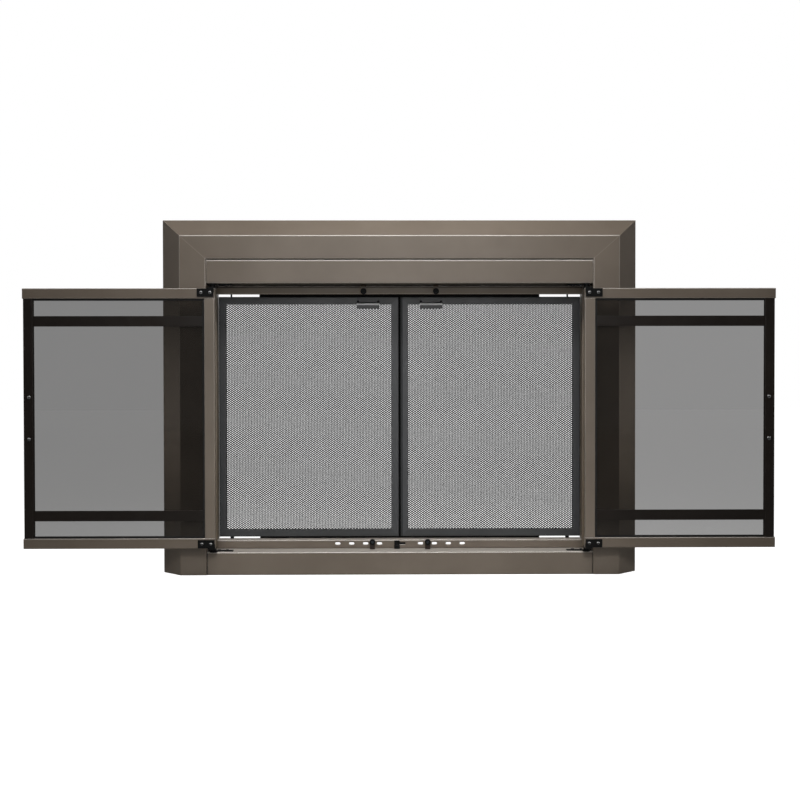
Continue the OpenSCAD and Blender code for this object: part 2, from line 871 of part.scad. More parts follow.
module door_crossbars() {
    at_both_ends()
        translate([door_rail_w + gasket_show, groove_v + gasket_t + glass_t, crossbar_inset])
            cube([free_inner_u - door_rail_w - gasket_show, crossbar_t, crossbar_w]);
}

module handle_screw_places() {
    for (s = [-1, 1]) translate([handle_u, 0, handle_height + s * handle_span / 2]) children();
}

// Bow handle on flared posts
module door_handle() {
    r = handle_d / 2;
    bar_y = -handle_reach + r;
    overhang = 10;
    difference() {
        union() {
            handle_screw_places() rotate([90, 0, 0]) rotate_extrude($fn = ROUND)
                polygon([[0, 0], [r + 2, 0], [r + 2, 1.5], [r, 4], [r - 0.6, 8], [r - 0.6, -bar_y], [0, -bar_y]]);
            rod_z(handle_u, bar_y, handle_height - handle_span / 2 - overhang,
                handle_height + handle_span / 2 + overhang, r);
            for (s = [-1, 1])
                translate([handle_u, bar_y, handle_height + s * (handle_span / 2 + overhang)])
                    sphere(r = r, $fn = ROUND);
        }
        handle_screw_places() rod_y(0, 0, -10, CUT, handle_screw_r);
    }
}

module door_handle_screws() {
    handle_screw_places() translate([0, door_t, 0]) rotate([-90, 0, 0])
        pan_screw(handle_screw_r, door_t + 8, 4, 2.4);
}

leaf_u = 1.7;
leaf_drop = 0.7;
leaf_screw_u = [leaf_u + leaf_w / 2 - leaf_screw_gap / 2 - 0.6, leaf_u + leaf_w / 2 + leaf_screw_gap / 2 - 0.6];
leaf_screw_z = leaf_drop + leaf_h / 2;
leaf_screw_r = 1.8;

module leaf_screw_holes() {
    for (u = leaf_screw_u) rod_y(u, leaf_screw_z, door_t - section_wall - CUT, door_t + CUT, leaf_screw_r);
}

// Bottom hinge leaf: a plate on the door's inner face and an ear bent under the door to the pivot
module hinge_leaf() {
    ear_r = hinge_ear_w / 2;
    pivot_v = pivot_y - door_front_y;
    difference() {
        union() {
            translate([leaf_u, door_t, leaf_drop]) cube([leaf_w, leaf_t, leaf_h]);
            translate([pivot_inset - ear_r, door_t, -ear_lift - leaf_t])
                cube([hinge_ear_w, leaf_t, ear_lift + leaf_t + leaf_drop + leaf_h / 2]);
            up(-ear_lift - leaf_t, -ear_lift) {
                translate([pivot_inset - ear_r, pivot_v]) square([hinge_ear_w, door_t + leaf_t - pivot_v]);
                translate([pivot_inset, pivot_v]) circle(r = ear_r, $fn = ROUND);
            }
        }
        leaf_screw_holes_in_leaf();
        rod_z(pivot_inset, pivot_v, -ear_lift - leaf_t - CUT, -ear_lift + CUT, hinge_pin_r);
    }
}

module leaf_screw_holes_in_leaf() {
    for (u = leaf_screw_u) rod_y(u, leaf_screw_z, door_t - CUT, door_t + leaf_t + CUT, leaf_screw_r);
}

module door_hinge_leaves() {
    at_both_ends() hinge_leaf();
}

module door_hinge_screws() {
    at_both_ends() for (u = leaf_screw_u) translate([u, door_t + leaf_t, leaf_screw_z]) rotate([-90, 0, 0])
        pan_screw(leaf_screw_r, leaf_t + section_wall + 4, 3.6, 2);
}

// Bottom hinge pin: riveted into the ear, with a collar that carries the door on the plate
module door_hinge_pins() {
    ear_low = -ear_lift - leaf_t;
    plate_top = -door_end_gap + frame_plate_t;
    at_both_ends() translate([pivot_inset, pivot_y - door_front_y, 0]) rotate_extrude($fn = ROUND)
        polygon([[0, -door_end_gap + GAP], [hinge_pin_r, -door_end_gap + GAP], [hinge_pin_r, plate_top + GAP],
            [hinge_collar_r, plate_top + GAP], [hinge_collar_r, ear_low], [hinge_pin_r, ear_low],
            [hinge_pin_r, -ear_lift], [hinge_pin_r + 1.8, -ear_lift], [hinge_pin_r + 1.2, 1.2], [0, 1.2]]);
}

// ---- Mesh door ----------------------------------------------------------------------------

// Outline of a bar of width w and depth d with rounded corners, centred
module rounded_outline(w, d, r) {
    square([w - 2 * r, d], center = true);
    square([w, d - 2 * r], center = true);
    for (x = [-1, 1], y = [-1, 1]) translate([x * (w / 2 - r), y * (d / 2 - r)]) circle(r = r, $fn = ROUND);
}

// Ring of folded channel for the left door, open towards the net
module mesh_frame() {
    middle = [-(mesh_outer_x + mesh_inner_x) / 2, mesh_pivot_y, (mesh_low + mesh_high) / 2];
    cavity = mesh_door_t - 2 * member_sheet;
    difference() {
        translate(middle) intersection() {
            along_x(mesh_w) rounded_outline(mesh_door_t, mesh_h, member_bend_r);
            up(-mesh_h / 2, mesh_h / 2) rounded_outline(mesh_w, mesh_door_t, member_bend_r);
        }
        translate(middle) cube([mesh_w - 2 * member_sheet, cavity, mesh_h - 2 * member_sheet], center = true);
        translate(middle) cube([mesh_w - 2 * member_w, mesh_door_t + CUT, mesh_h - 2 * member_w], center = true);
        mesh_pin_rods(mesh_pin_r);
    }
}

module mesh_pin_rods(r) {
    rod_z(-mesh_pivot_x, mesh_pivot_y, mesh_high - pin_seat, ceiling_z - sheet - 0.5, r);
    rod_z(-mesh_pivot_x, mesh_pivot_y, sill_top - 2 * sheet - 0.5, mesh_low + pin_seat, r);
}

// Net of diamonds in a solid hem that fills the channel
module mesh_net() {
    hem = member_w + 2;
    clear_w = mesh_w - 2 * hem;
    clear_h = mesh_h - 2 * hem;
    cell = [clear_w / net_columns, clear_h / net_rows];
    shrink = 1 - net_strand * norm(cell) / (cell.x * cell.y);
    half = cell * shrink / 2;
    y0 = mesh_pivot_y - net_t / 2;
    difference() {
        through_y(y0, y0 + net_t) difference() {
            translate([-mesh_outer_x + member_sheet, mesh_low + member_sheet])
                square([mesh_w - 2 * member_sheet, mesh_h - 2 * member_sheet]);
            translate([-mesh_outer_x + hem, mesh_low + hem]) intersection() {
                square([clear_w, clear_h]);
                for (i = [0 : 2 * net_columns], j = [0 : 2 * net_rows])
                    if ((i + j) % 2 == 0)
                        translate([i * cell.x / 2, j * cell.y / 2])
                            polygon([[half.x, 0], [0, half.y], [-half.x, 0], [0, -half.y]]);
            }
        }
        mesh_pin_rods(mesh_pin_r);
    }
}

// Folded pull on the top member: a plate, a ledge and a lip
module mesh_pull() {
    plate_y = mesh_front - sheet;
    ledge_z = mesh_high - member_w + sheet;
    pull_bend_r = 4;
    translate([-pull_x, 0, 0]) along_x(pull_w)
        folded([[plate_y, mesh_high - 1], [plate_y, ledge_z], [mesh_front - pull_reach, ledge_z],
            [mesh_front - pull_reach, ledge_z - pull_lip]], r = pull_bend_r);
}

module mesh_pins() {
    mesh_pin_rods(mesh_pin_r);
}

// Strip on the right door's meeting edge: a leaf on its front, and a bar that fills the gap
// between the doors
module mesh_meeting_strip() {
    leaf = 4.7;
    t = 1.2;
    bar_gap = 0.35;
    bar_left = -mesh_inner_x + bar_gap;
    bar_front = mesh_front + mesh_door_t * 0.25;
    bar_back = mesh_back - 0.5;
    color(BLACK) up(mesh_low + 1, mesh_high - 1) {
        translate([mesh_inner_x - t / 2, mesh_front - t]) square([leaf + t / 2, t]);
        translate([mesh_inner_x - t / 2, mesh_front - t]) square([t / 2, bar_back - mesh_front + t]);
        translate([bar_left, bar_front]) square([mesh_inner_x - bar_left, bar_back - bar_front]);
    }
}

// ---- Assembly -----------------------------------------------------------------------------

top_rail();
left_stile();
right_stile();
bottom_rail();
lintel_panel();
header_channel();
sill_channel();
left_jamb();
right_jamb();
stop_strips();
magnet_tabs();
door_magnets();
frame_hinge_plates();
frame_hinge_screws();
mesh_pivot_brackets();
mesh_pivot_bushes();
corner_gussets();
rail_end_brackets();
clamp_angles();
clamp_bolts();
clamp_bars();
wing_nuts();
floor_brackets();
floor_bracket_screws();
damper_guides();
color(PAINT) on_left_door() door_top_rail();  // left_door_top_rail
color(PAINT) on_left_door() door_bottom_rail();  // left_door_bottom_rail
color(PAINT) on_left_door() door_hinge_stile();  // left_door_hinge_stile
color(BLACK) on_left_door() door_free_stile();  // left_door_free_stile
color(SMOKED_GLASS) on_left_door() door_glass();  // left_door_glass
color(BLACK) on_left_door() door_gasket();  // left_door_gasket
color(BLACK) on_left_door() door_crossbars();  // left_door_crossbars
color(BLACK) on_left_door() door_handle();  // left_door_handle
color(BLACK) on_left_door() door_handle_screws();  // left_door_handle_screws
color(BLACK) on_left_door() door_hinge_leaves();  // left_door_hinge_leaves
color(BLACK) on_left_door() door_hinge_pins();  // left_door_hinge_pins
color(BLACK) on_left_door() door_hinge_screws();  // left_door_hinge_screws
color(PAINT) on_right_door() door_top_rail();  // right_door_top_rail
color(PAINT) on_right_door() door_bottom_rail();  // right_door_bottom_rail
color(PAINT) on_right_door() door_hinge_stile();  // right_door_hinge_stile
color(BLACK) on_right_door() door_free_stile();  // right_door_free_stile
color(SMOKED_GLASS) on_right_door() door_glass();  // right_door_glass
color(BLACK) on_right_door() door_gasket();  // right_door_gasket
color(BLACK) on_right_door() door_crossbars();  // right_door_crossbars
color(BLACK) on_right_door() door_handle();  // right_door_handle
color(BLACK) on_right_door() door_handle_screws();  // right_door_handle_screws
color(BLACK) on_right_door() door_hinge_leaves();  // right_door_hinge_leaves
color(BLACK) on_right_door() door_hinge_pins();  // right_door_hinge_pins
color(BLACK) on_right_door() door_hinge_screws();  // right_door_hinge_screws
color(CHARCOAL) mesh_frame();  // left_mesh_frame
color(ZINC) mesh_net();  // left_mesh_net
color(BLACK) mesh_pull();  // left_mesh_pull
color(BLACK) mesh_pins();  // left_mesh_pins
color(CHARCOAL) mirror([1, 0, 0]) mesh_frame();  // right_mesh_frame
color(ZINC) mirror([1, 0, 0]) mesh_net();  // right_mesh_net
color(BLACK) mirror([1, 0, 0]) mesh_pull();  // right_mesh_pull
color(BLACK) mirror([1, 0, 0]) mesh_pins();  // right_mesh_pins
mesh_meeting_strip();
damper_plate();
damper_lever();
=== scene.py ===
import json
import math

import bmesh
import bpy
from mathutils import Matrix, Vector


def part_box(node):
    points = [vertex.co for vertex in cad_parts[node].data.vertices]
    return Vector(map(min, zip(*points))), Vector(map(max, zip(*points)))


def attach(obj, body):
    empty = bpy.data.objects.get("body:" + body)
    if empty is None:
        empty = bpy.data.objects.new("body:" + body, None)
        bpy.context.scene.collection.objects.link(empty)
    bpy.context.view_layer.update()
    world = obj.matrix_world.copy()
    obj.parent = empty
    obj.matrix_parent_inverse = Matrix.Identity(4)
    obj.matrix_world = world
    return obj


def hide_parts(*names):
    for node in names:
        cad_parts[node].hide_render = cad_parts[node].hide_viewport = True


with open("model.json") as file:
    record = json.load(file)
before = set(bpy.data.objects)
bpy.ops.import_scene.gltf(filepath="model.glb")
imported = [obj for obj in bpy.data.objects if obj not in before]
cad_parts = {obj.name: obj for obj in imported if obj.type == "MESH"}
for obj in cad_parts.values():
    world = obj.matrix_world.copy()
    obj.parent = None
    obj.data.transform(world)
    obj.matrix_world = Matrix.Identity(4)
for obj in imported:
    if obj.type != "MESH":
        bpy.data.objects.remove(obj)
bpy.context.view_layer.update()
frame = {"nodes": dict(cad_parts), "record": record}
nodes = frame["nodes"]

MM = 0.001
SIDES = {"left": -1, "right": 1}

# ---- Materials ----------------------------------------------------------------------------


def linear(hex_code):
    """An sRGB hex colour as a linear RGBA value."""
    rgb = [int(hex_code[i : i + 2], 16) / 255 for i in (1, 3, 5)]
    return [c / 12.92 if c <= 0.04045 else ((c + 0.055) / 1.055) ** 2.4 for c in rgb] + [1.0]


def add(tree, kind, settings=None, links=None):
    """Adds a node, sets its properties, input values and ramp stops, and links its inputs."""
    n = tree.nodes.new(kind)
    for key, value in (settings or {}).items():
        if key == "stops":
            band = n.color_ramp
            while len(band.elements) < len(value):
                band.elements.new(1.0)
            for element, (place, code) in zip(band.elements, value):
                element.position = place
                element.color = linear(code)
        elif isinstance(key, int) or key in n.inputs:
            n.inputs[key].default_value = value
        else:
            setattr(n, key, value)
    for key, source in (links or {}).items():
        tree.links.new(source, n.inputs[key])
    return n


def new_material(name):
    m = bpy.data.materials.new(name)
    m.use_nodes = True
    m.node_tree.nodes.clear()
    return m, m.node_tree


# Bends that look sideways or down get less painted highlight than those that look up, and none near
# the hearth
FAINT_SHARE = 0.4
HIGHLIGHT_NONE_BELOW = 150 * MM
HIGHLIGHT_FULL_ABOVE = 500 * MM


def painted_highlight_band(t, normal, place):
    """A painted highlight mask: 1 where a rounded edge turns up, and a share of it on level tops and on
    the other bends.

    The other bends get less of it lower down and none near the hearth.
    """
    height = add(t, "ShaderNodeSeparateXYZ", links={"Vector": place})
    share = {"From Min": HIGHLIGHT_NONE_BELOW, "From Max": HIGHLIGHT_FULL_ABOVE, "To Max": FAINT_SHARE}
    shine = add(t, "ShaderNodeMapRange", share, {"Value": height.outputs["Z"]})
    part = add(t, "ShaderNodeSeparateXYZ", links={"Vector": normal})
    sideways = add(t, "ShaderNodeMath", {"operation": "ABSOLUTE"}, {0: part.outputs["X"]})
    down = add(t, "ShaderNodeMath", {"operation": "MULTIPLY", 1: -1.0}, {0: part.outputs["Z"]})
    either = {0: sideways.outputs[0], 1: down.outputs[0]}
    other = add(t, "ShaderNodeMath", {"operation": "MAXIMUM"}, either)
    # The ramps read the normal's part along an axis: 0.1 to 0.7 is the middle of a bend's turn
    bend = [(0.1, "#000000"), (0.28, "#ffffff"), (0.6, "#ffffff"), (0.72, "#000000")]
    bend_and_top = bend + [(0.84, "#000000"), (0.96, "#b0b0b0")]
    up = add(t, "ShaderNodeValToRGB", {"stops": bend_and_top}, {"Fac": part.outputs["Z"]})
    side = add(t, "ShaderNodeValToRGB", {"stops": bend}, {"Fac": other.outputs[0]})
    faded_sides = {0: side.outputs["Color"], 1: shine.outputs["Result"]}
    faint = add(t, "ShaderNodeMath", {"operation": "MULTIPLY"}, faded_sides)
    both = {0: up.outputs["Color"], 1: faint.outputs[0]}
    return add(t, "ShaderNodeMath", {"operation": "MAXIMUM"}, both).outputs[0]


# Sizes of a coat's slow variation, and of the smudges that make its gloss and wear uneven
CLOUD_MM = 143
SMUDGE_MM = 26.3
# Cosine between the rounded and the flat normal, where rubbing begins and where it is full
RUB_START = 0.98
RUB_FULL = 0.86


def painted(
    name,
    shades,
    worn,
    roughness,
    peel_mm,
    relief_mm,
    edge_mm=1.0,
    wear=0.35,
    gloss=0.5,
    tones=(),
    painted_highlight=None,
    seam=None,
):
    """Sprayed or powder-coated metal: slow shade variation, an orange-peel bump, edges rubbed lighter.

    tones are pairs: a function that builds a 0 to 1 mask from the tree and the place, and the
    colour that the paint has where the mask is 1. The highlight colour paints a highlight on the
    bends that face up, with a share of it on level tops and on the other bends. seam
    builds a mask of the places without a rounded edge, such as butted joints.
    """
    m, t = new_material(name)
    place = add(t, "ShaderNodeTexCoord").outputs["Object"]
    clouds = {"Scale": 1 / (CLOUD_MM * MM), "Detail": 3.0, "Roughness": 0.55}
    slow = add(t, "ShaderNodeTexNoise", clouds, {"Vector": place})
    orange_peel = {"Scale": 1 / (peel_mm * MM), "Detail": 2.0}
    peel = add(t, "ShaderNodeTexNoise", orange_peel, {"Vector": place})
    smears = {"Scale": 1 / (SMUDGE_MM * MM), "Detail": 4.0, "Distortion": 0.6}
    smudge = add(t, "ShaderNodeTexNoise", smears, {"Vector": place}).outputs["Fac"]
    stops = list(zip((0.3, 0.5, 0.7), shades))
    shade = add(t, "ShaderNodeValToRGB", {"stops": stops}, {"Fac": slow.outputs["Fac"]}).outputs["Color"]
    for mask, code in tones:
        tone = {"data_type": "RGBA", 7: linear(code)}
        shade = add(t, "ShaderNodeMix", tone, {"Factor": mask(t, place), 6: shade}).outputs[2]
    # The rounded normal differs from the flat one only near an edge
    edge = add(t, "ShaderNodeBevel", {"samples": 6, "Radius": edge_mm * MM}).outputs["Normal"]
    flat = add(t, "ShaderNodeNewGeometry").outputs["Normal"]
    if seam:
        kept = {"Factor": seam(t, place), 4: edge, 5: flat}
        edge = add(t, "ShaderNodeMix", {"data_type": "VECTOR"}, kept).outputs[1]
    # A painted highlight on the bends that face up
    if painted_highlight:
        highlight_tint = {"data_type": "RGBA", 7: linear(painted_highlight)}
        lit = {"Factor": painted_highlight_band(t, edge, place), 6: shade}
        shade = add(t, "ShaderNodeMix", highlight_tint, lit).outputs[2]
    turn = add(t, "ShaderNodeVectorMath", {"operation": "DOT_PRODUCT"}, {0: edge, 1: flat})
    rubbing = {"From Min": RUB_START, "From Max": RUB_FULL, "To Max": wear}
    rubbed = add(t, "ShaderNodeMapRange", rubbing, {"Value": turn.outputs["Value"]})
    patchy = {0: rubbed.outputs["Result"], 1: smudge}
    patches = add(t, "ShaderNodeMath", {"operation": "MULTIPLY"}, patchy)
    bared = {"data_type": "RGBA", 7: linear(worn)}
    colour = add(t, "ShaderNodeMix", bared, {"Factor": patches.outputs["Value"], 6: shade})
    sheen = {"From Min": 0.3, "From Max": 0.7, "To Min": roughness - 0.05, "To Max": roughness + 0.06}
    rough = add(t, "ShaderNodeMapRange", sheen, {"Value": smudge})
    relief = {"Strength": 0.35, "Distance": relief_mm * MM}
    bump = add(t, "ShaderNodeBump", relief, {"Height": peel.outputs["Fac"], "Normal": edge})
    surface = {
        "Base Color": colour.outputs[2],
        "Roughness": rough.outputs["Result"],
        "Normal": bump.outputs["Normal"],
    }
    shader = add(t, "ShaderNodeBsdfPrincipled", {"Specular IOR Level": gloss}, surface)
    add(t, "ShaderNodeOutputMaterial", links={"Surface": shader.outputs["BSDF"]})
    return m


def uprights(t, place):
    """1 on the upright members of the mesh doors and 0 on the level ones, parted along the mitres."""
    low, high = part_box("right_mesh_frame")
    mirrored = add(t, "ShaderNodeVectorMath", {"operation": "ABSOLUTE"}, {0: place})
    middle = {"operation": "SUBTRACT", 1: (low + high) / 2}
    centred = add(t, "ShaderNodeVectorMath", middle, {0: mirrored.outputs[0]})
    away = add(t, "ShaderNodeVectorMath", {"operation": "ABSOLUTE"}, {0: centred.outputs[0]})
    half = {"operation": "SUBTRACT", 0: (high - low) / 2}
    rim = add(t, "ShaderNodeVectorMath", half, {1: away.outputs[0]})
    gap = add(t, "ShaderNodeSeparateXYZ", links={"Vector": rim.outputs[0]})
    nearer = {0: gap.outputs["X"], 1: gap.outputs["Z"]}
    return add(t, "ShaderNodeMath", {"operation": "LESS_THAN"}, nearer).outputs[0]


def undersides(t, place):
    """1 on faces that look straight down."""
    flat = add(t, "ShaderNodeNewGeometry").outputs["Normal"]
    part = add(t, "ShaderNodeSeparateXYZ", links={"Vector": flat})
    below = {"operation": "LESS_THAN", 1: -0.9}
    return add(t, "ShaderNodeMath", below, {0: part.outputs["Z"]}).outputs[0]


def above(height):
    """A mask that is 1 higher than this."""

    def mask(t, place):
        part = add(t, "ShaderNodeSeparateXYZ", links={"Vector": place})
        past = {"operation": "GREATER_THAN", 1: height}
        return add(t, "ShaderNodeMath", past, {0: part.outputs["Z"]}).outputs[0]

    return mask


def outside_x(limit):
    """A mask that is 1 farther than this to either side of the middle."""

    def mask(t, place):
        part = add(t, "ShaderNodeSeparateXYZ", links={"Vector": place})
        away = add(t, "ShaderNodeMath", {"operation": "ABSOLUTE"}, {0: part.outputs["X"]})
        past = {"operation": "GREATER_THAN", 1: limit}
        return add(t, "ShaderNodeMath", past, {0: away.outputs[0]}).outputs[0]

    return mask


# Height of a pull's hanging lip, and how far its painted highlight reaches down it and back along the
# ledge
PULL_LIP = 14 * MM
PULL_RIM_HEIGHT = 5 * MM
PULL_RIM_DEPTH = 4.5 * MM


def pull_rim(t, place):
    """1 on the front of a mesh pull's ledge and on the top of its lip."""
    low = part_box("left_mesh_pull")[0]
    part = add(t, "ShaderNodeSeparateXYZ", links={"Vector": place})
    shallow = {"operation": "LESS_THAN", 1: low.y + PULL_RIM_DEPTH}
    front = add(t, "ShaderNodeMath", shallow, {0: part.outputs["Y"]})
    tall = {"operation": "GREATER_THAN", 1: low.z + PULL_LIP - PULL_RIM_HEIGHT}
    top = add(t, "ShaderNodeMath", tall, {0: part.outputs["Z"]})
    both = {0: front.outputs[0], 1: top.outputs[0]}
    return add(t, "ShaderNodeMath", {"operation": "MULTIPLY"}, both).outputs[0]


def mitres(half_width):
    """A mask that is 1 within this distance of the surround's two mitres."""
    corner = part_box("top_rail")[1]
    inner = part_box("lintel_panel")[1]
    run = Vector((corner.x - inner.x, 0, corner.z - inner.z)).normalized()
    across = Vector((run.z, 0, -run.x))

    def mask(t, place):
        mirrored = add(t, "ShaderNodeVectorMath", {"operation": "ABSOLUTE"}, {0: place})
        from_corner = {"operation": "SUBTRACT", 1: (corner.x, 0, corner.z)}
        away = add(t, "ShaderNodeVectorMath", from_corner, {0: mirrored.outputs[0]})
        square_on = {"operation": "DOT_PRODUCT", 1: across}
        off = add(t, "ShaderNodeVectorMath", square_on, {0: away.outputs[0]})
        near = {"operation": "COMPARE", 1: 0.0, 2: half_width}
        return add(t, "ShaderNodeMath", near, {0: off.outputs["Value"]}).outputs[0]

    return mask


# Satin taupe enamel sprayed on folded steel: even, slightly warm, with a soft sheen
TAUPE = ("#60564b", "#655b50", "#6a6055")
ON_STEEL = {
    "worn": "#877d72",
    "roughness": 0.36,
    "peel_mm": 1.1,
    "relief_mm": 0.03,
    "edge_mm": 2.4,
    # Colour of the painted highlight on the bends that face up
    "painted_highlight": "#bfb8b1",
}
taupe_enamel = painted("taupe_satin_enamel", TAUPE, **ON_STEEL)
# The same on the mitred members, with a thin painted highlight along each mitre and no edge rounding or
# bend highlight near it
mitred_enamel = painted(
    "taupe_enamel_on_mitres",
    TAUPE,
    tones=[(mitres(0.45 * MM), "#7b7166")],
    seam=mitres(2.6 * MM),
    **ON_STEEL,
)
# The same on the lintel panel, with painted shade on its underside
lintel_enamel = painted("taupe_enamel_on_lintel", TAUPE, tones=[(undersides, "#2c251f")], **ON_STEEL)
# The same on the header's band and the jambs, painted a little lighter as a stand-in for light in the
# recess, with a painted shadow just under the lintel panel
shadow_under_lintel = above(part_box("lintel_panel")[0].z - 5.5 * MM)
header_enamel = painted(
    "taupe_enamel_on_header",
    ("#6e6254", "#736758", "#786c5d"),
    gloss=0.35,
    tones=[(shadow_under_lintel, "#40362c")],
    seam=shadow_under_lintel,
    **ON_STEEL,
)
# The same on the bottom rail, with painted shade at its ends in the joints with the stiles
rail_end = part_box("bottom_rail")[1].x
rail_enamel = painted(
    "taupe_enamel_on_bottom_rail",
    TAUPE,
    tones=[(outside_x(rail_end - 1.6 * MM), "#1c1712")],
    seam=outside_x(rail_end - 2.6 * MM),
    # A brighter painted highlight along the rail's top bend
    **(ON_STEEL | {"painted_highlight": "#d9d3cc"}),
)
# The same enamel on the extruded aluminium of the doors, with sharper edges and a finer peel
ON_ALUMINIUM = {
    "worn": "#877d72",
    "roughness": 0.34,
    "peel_mm": 0.9,
    "relief_mm": 0.02,
    "edge_mm": 1.6,
    # Colour of the painted highlight on the bends that face up
    "painted_highlight": "#bfb8b1",
}
door_enamel = painted("taupe_enamel_on_aluminium", TAUPE, **ON_ALUMINIUM)
# The same on the hinge stiles, a little lighter
stile_enamel = painted(
    "taupe_enamel_on_hinge_stiles", ("#695f54", "#6e6459", "#73695e"), **ON_ALUMINIUM
)
# Black satin enamel on the doors' free stiles and crossbars, with a faint brown cast
black_enamel = painted(
    "black_satin_enamel",
    ("#17120e", "#1a1410", "#1e1813"),
    worn="#35302b",
    roughness=0.34,
    peel_mm=0.9,
    relief_mm=0.02,
    gloss=0.3,
)
# Black powder coat on hinges, catches, stops and damper: dull, with a coarse peel
POWDER_BLACK = ("#080808", "#0a0a0a", "#0e0e0e")
POWDER = {"worn": "#3c3c3d", "roughness": 0.5, "peel_mm": 0.7, "relief_mm": 0.05, "gloss": 0.12}
black_powder = painted("black_powder_coat", POWDER_BLACK, wear=0.4, **POWDER)
# Dark brown enamel on the lower tabs of the magnetic catches, painted shade under the magnets with a
# painted brown reflection of the taupe around them; the upper two are taupe
umber_enamel = painted(
    "umber_enamel",
    ("#211814", "#271c17", "#2d211b"),
    worn="#4a3c34",
    roughness=0.4,
    peel_mm=0.8,
    relief_mm=0.03,
    gloss=0.3,
    tones=[(above(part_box("left_mesh_frame")[1].z), "#5c5145")],
)
# Blackened screws, glossy, with painted glints on the tops of their heads
blackened = painted(
    "blackened_screw",
    ("#101011", "#141415", "#19191a"),
    worn="#6a6a6b",
    roughness=0.2,
    peel_mm=0.6,
    relief_mm=0.02,
    edge_mm=0.3,
    wear=0.6,
    painted_highlight="#b0b0b0",
)
# Charcoal powder coat on the mesh doors' frames, with a painted sheen that makes the uprights a little
# lighter
charcoal_powder = painted(
    "charcoal_powder_coat",
    ("#2b2c2d", "#303132", "#353637"),
    worn="#66686a",
    roughness=0.44,
    peel_mm=0.8,
    relief_mm=0.05,
    tones=[(uprights, "#37383a")],
)
# The same coat on the pulls, with a painted highlight along the rim
pull_powder = painted(
    "charcoal_powder_on_pulls",
    ("#1e1f1f", "#222323", "#262727"),
    worn="#66686a",
    roughness=0.4,
    peel_mm=0.7,
    relief_mm=0.04,
    edge_mm=1.2,
    tones=[(pull_rim, "#bcbcbb")],
)
# Black powder coat on the meeting strip, whose leaf is charcoal like the frame it is fixed to
BLACK_WIDTH = 4.7 * MM
leaf = outside_x(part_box("left_mesh_frame")[1].x + BLACK_WIDTH)
strip_powder = painted(
    "powder_coat_on_meeting_strip", POWDER_BLACK, wear=0.2, tones=[(leaf, "#323334")], **POWDER
)
# Black oxide on expanded steel mesh: dark grey, a little bare on the strands' edges
mesh_oxide = painted(
    "oxide_on_expanded_steel",
    ("#2a2a2b", "#323233", "#3b3b3d"),
    worn="#6c6d70",
    roughness=0.42,
    peel_mm=0.5,
    relief_mm=0.03,
    edge_mm=0.3,
)

# Size of the clouding on plate, and how much its drawn lines are stretched upwards
PLATE_CLOUD_MM = 8.33
DRAWN_STRETCH = 0.12


def plated(name, shades, roughness, streak_mm, thread_mm=0.0):
    """Plated steel with fine drawn lines and, where asked, a thread cut round the Y axis."""
    m, t = new_material(name)
    place = add(t, "ShaderNodeTexCoord").outputs["Object"]
    stretch = add(t, "ShaderNodeMapping", {"Scale": (1.0, 1.0, DRAWN_STRETCH)}, {"Vector": place})
    streaks = {"Scale": 1 / (streak_mm * MM), "Detail": 2.0}
    lines = add(t, "ShaderNodeTexNoise", streaks, {"Vector": stretch.outputs["Vector"]}).outputs["Fac"]
    clouds = {"Scale": 1 / (PLATE_CLOUD_MM * MM), "Detail": 3.0}
    cloud = add(t, "ShaderNodeTexNoise", clouds, {"Vector": place})
    stops = list(zip((0.3, 0.7), shades))
    tint = add(t, "ShaderNodeValToRGB", {"stops": stops}, {"Fac": cloud.outputs["Fac"]})
    sheen = {"From Min": 0.3, "From Max": 0.7, "To Min": roughness - 0.07, "To Max": roughness + 0.08}
    rough = add(t, "ShaderNodeMapRange", sheen, {"Value": lines})
    bump = add(t, "ShaderNodeBump", {"Strength": 0.2, "Distance": 0.02 * MM}, {"Height": lines})
    if thread_mm:
        # The wave texture repeats every pi / 10 of its scaled length
        turns = {"bands_direction": "Y", "Scale": math.pi / 10 / (thread_mm * MM)}
        wave = add(t, "ShaderNodeTexWave", turns, {"Vector": place})
        relief = {"Strength": 1.0, "Distance": 0.3 * thread_mm * MM}
        cut = {"Height": wave.outputs["Fac"], "Normal": bump.outputs["Normal"]}
        bump = add(t, "ShaderNodeBump", relief, cut)
    surface = {
        "Base Color": tint.outputs["Color"],
        "Roughness": rough.outputs["Result"],
        "Normal": bump.outputs["Normal"],
    }
    shader = add(t, "ShaderNodeBsdfPrincipled", {"Metallic": 1.0}, surface)
    add(t, "ShaderNodeOutputMaterial", links={"Surface": shader.outputs["BSDF"]})
    return m


# Bright zinc plate on screws, clamps and brackets
zinc_plate = plated("bright_zinc_plate", ("#b4b6b8", "#c9c6bb"), 0.3, 0.5)
# The same plate on the clamps' threaded bolts
zinc_thread = plated("zinc_plated_thread", ("#a9abad", "#bdbab0"), 0.34, 0.5, thread_mm=1.27)
# Bare nickel on the poles of the magnetic catches
nickel_pole = plated("nickel_pole_plate", ("#34383d", "#484d52"), 0.4, 0.4)

# Size of the haze that fingers and smoke leave on a pane
HAZE_MM = 71.4


